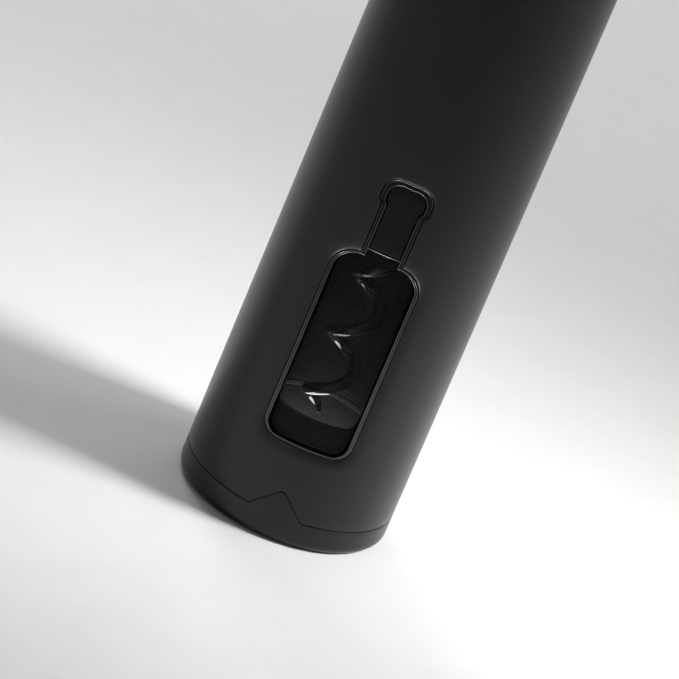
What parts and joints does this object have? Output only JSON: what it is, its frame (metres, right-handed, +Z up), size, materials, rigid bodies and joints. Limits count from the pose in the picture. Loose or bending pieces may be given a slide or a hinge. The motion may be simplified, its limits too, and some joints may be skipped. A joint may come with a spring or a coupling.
{
  "type": "electric wine opener",
  "caption": "Cordless electric corkscrew: straight charcoal tube that stands on a bottle's neck, with a bottle-shaped window onto its worm and two buttons on the front.",
  "frame": {"origin": "on the tube's axis, in the plane of the base ring's bottom face", "axes": "+Z up along the tube from the base to the top cap, -Y towards the front with the window and buttons, +X to the viewer's right"},
  "size_m": [0.046, 0.046, 0.232],
  "materials": {
    "shell_charcoal": "satin moulded, charcoal black",
    "bezel_black": "satin moulded, black",
    "gloss_black": "polished black",
    "smoked_lens": "clear polycarbonate, smoked dark",
    "dark_plastic": "moulded, black",
    "rubber": "matt black silicone",
    "grey_plastic": "moulded acetal, grey",
    "gear_plastic": "moulded acetal, natural",
    "coated_steel": "black low-friction coating, glossy",
    "steel": "bright",
    "laminated_steel": "stacked sheets",
    "magnet": "sintered ferrite",
    "brass": "turned",
    "copper": "turned copper",
    "board_green": "glass-fibre laminate, green mask",
    "cell_wrap": "cell can in blue shrink wrap",
    "clear_light": "clear",
    "red_wire": "insulated lead, red",
    "black_wire": "insulated lead, black"
  },
  "bodies": {
    "housing": {"outer_shell": "shell_charcoal", "base_ring": "shell_charcoal", "top_cap": "shell_charcoal", "window_frame": "bezel_black", "button_bezel": "gloss_black", "port_trim": "gloss_black", "window_lens": "smoked_lens", "neck_guide": "dark_plastic", "cork_sleeve": "dark_plastic", "chassis": "dark_plastic", "motor_endcap": "dark_plastic", "lip_seat": "rubber", "feed_tube": "grey_plastic", "gear_case": "grey_plastic", "up_switch": "grey_plastic", "down_switch": "grey_plastic", "motor_plate": "steel", "motor_screw_left": "steel", "motor_screw_right": "steel", "motor_can": "steel", "battery_tab_top": "steel", "battery_tab_bottom": "steel", "charge_socket": "steel", "thrust_washer": "brass", "motor_bush": "brass", "motor_magnet_front": "magnet", "motor_magnet_rear": "magnet", "battery_cell": "cell_wrap", "circuit_board": "board_green", "charge_board": "board_green", "charge_led": "clear_light", "indicator_lens": "clear_light", "motor_lead_red": "red_wire", "battery_lead_red": "red_wire", "motor_lead_black": "black_wire", "battery_lead_black": "black_wire"},
    "motor_rotor": {"motor_shaft": "steel", "motor_pinion": "brass", "rotor_core": "laminated_steel", "commutator": "copper"},
    "first_carrier": {"first_carrier": "gear_plastic"},
    "second_carrier": {"second_carrier": "gear_plastic"},
    "drive": {"output_carrier": "gear_plastic", "drive_sleeve": "steel"},
    "worm_assembly": {"worm": "coated_steel", "worm_carrier": "grey_plastic", "guide_pin_left": "steel", "guide_pin_right": "steel"},
    "first_planet_a": {"first_planet_a": "gear_plastic"},
    "first_planet_b": {"first_planet_b": "gear_plastic"},
    "first_planet_c": {"first_planet_c": "gear_plastic"},
    "second_planet_a": {"second_planet_a": "gear_plastic"},
    "second_planet_b": {"second_planet_b": "gear_plastic"},
    "second_planet_c": {"second_planet_c": "gear_plastic"},
    "third_planet_a": {"third_planet_a": "gear_plastic"},
    "third_planet_b": {"third_planet_b": "gear_plastic"},
    "third_planet_c": {"third_planet_c": "gear_plastic"},
    "up_button": {"up_button": "shell_charcoal"},
    "down_button": {"down_button": "shell_charcoal"}
  },
  "joints": [
    {"name": "motor_spin", "type": "hinge", "parent": "housing", "child": "motor_rotor", "pos_m": [0, 0, 0.16], "axis": [0, 0, -1], "range_deg": [0, 69120]},
    {"name": "first_carrier_spin", "type": "hinge", "parent": "housing", "child": "first_carrier", "pos_m": [0, 0, 0.138], "axis": [0, 0, -1], "range_deg": [0, 17280]},
    {"name": "second_carrier_spin", "type": "hinge", "parent": "housing", "child": "second_carrier", "pos_m": [0, 0, 0.132], "axis": [0, 0, -1], "range_deg": [0, 4320]},
    {"name": "drive_spin", "type": "hinge", "parent": "housing", "child": "drive", "pos_m": [0, 0, 0.12], "axis": [0, 0, -1], "range_deg": [0, 1080]},
    {"name": "worm_feed", "type": "slide", "parent": "drive", "child": "worm_assembly", "axis": [0, 0, -1], "range_m": [0, 0.0429]},
    {"name": "first_planet_a_spin", "type": "hinge", "parent": "first_carrier", "child": "first_planet_a", "pos_m": [0.0096, 0, 0.1417], "axis": [0, 0, -1], "range_deg": [-51840, 0]},
    {"name": "first_planet_b_spin", "type": "hinge", "parent": "first_carrier", "child": "first_planet_b", "pos_m": [-0.0048, 0.00831, 0.1417], "axis": [0, 0, -1], "range_deg": [-51840, 0]},
    {"name": "first_planet_c_spin", "type": "hinge", "parent": "first_carrier", "child": "first_planet_c", "pos_m": [-0.0048, -0.00831, 0.1417], "axis": [0, 0, -1], "range_deg": [-51840, 0]},
    {"name": "second_planet_a_spin", "type": "hinge", "parent": "second_carrier", "child": "second_planet_a", "pos_m": [0.0096, 0, 0.1353], "axis": [0, 0, -1], "range_deg": [-12960, 0]},
    {"name": "second_planet_b_spin", "type": "hinge", "parent": "second_carrier", "child": "second_planet_b", "pos_m": [-0.0048, 0.00831, 0.1353], "axis": [0, 0, -1], "range_deg": [-12960, 0]},
    {"name": "second_planet_c_spin", "type": "hinge", "parent": "second_carrier", "child": "second_planet_c", "pos_m": [-0.0048, -0.00831, 0.1353], "axis": [0, 0, -1], "range_deg": [-12960, 0]},
    {"name": "third_planet_a_spin", "type": "hinge", "parent": "drive", "child": "third_planet_a", "pos_m": [0.0096, 0, 0.1289], "axis": [0, 0, -1], "range_deg": [-3240, 0]},
    {"name": "third_planet_b_spin", "type": "hinge", "parent": "drive", "child": "third_planet_b", "pos_m": [-0.0048, 0.00831, 0.1289], "axis": [0, 0, -1], "range_deg": [-3240, 0]},
    {"name": "third_planet_c_spin", "type": "hinge", "parent": "drive", "child": "third_planet_c", "pos_m": [-0.0048, -0.00831, 0.1289], "axis": [0, 0, -1], "range_deg": [-3240, 0]},
    {"name": "up_button_press", "type": "slide", "parent": "housing", "child": "up_button", "axis": [0, 1, 0], "range_m": [0, 0.0005], "stiffness_N_per_m": 1500, "springref_m": -0.0002},
    {"name": "down_button_press", "type": "slide", "parent": "housing", "child": "down_button", "axis": [0, 1, 0], "range_m": [0, 0.0005], "stiffness_N_per_m": 1500, "springref_m": -0.0002}
  ],
  "couplings": [
    {"joint": "first_carrier_spin", "follows": "motor_spin", "ratio": 0.25},
    {"joint": "second_carrier_spin", "follows": "motor_spin", "ratio": 0.0625},
    {"joint": "drive_spin", "follows": "motor_spin", "ratio": 0.015625},
    {"joint": "worm_feed", "follows": "motor_spin", "m_per_rad": 0.000035561},
    {"joint": "first_planet_a_spin", "follows": "motor_spin", "ratio": -0.75},
    {"joint": "first_planet_b_spin", "follows": "motor_spin", "ratio": -0.75},
    {"joint": "first_planet_c_spin", "follows": "motor_spin", "ratio": -0.75},
    {"joint": "second_planet_a_spin", "follows": "motor_spin", "ratio": -0.1875},
    {"joint": "second_planet_b_spin", "follows": "motor_spin", "ratio": -0.1875},
    {"joint": "second_planet_c_spin", "follows": "motor_spin", "ratio": -0.1875},
    {"joint": "third_planet_a_spin", "follows": "motor_spin", "ratio": -0.046875},
    {"joint": "third_planet_b_spin", "follows": "motor_spin", "ratio": -0.046875},
    {"joint": "third_planet_c_spin", "follows": "motor_spin", "ratio": -0.046875}
  ]
}
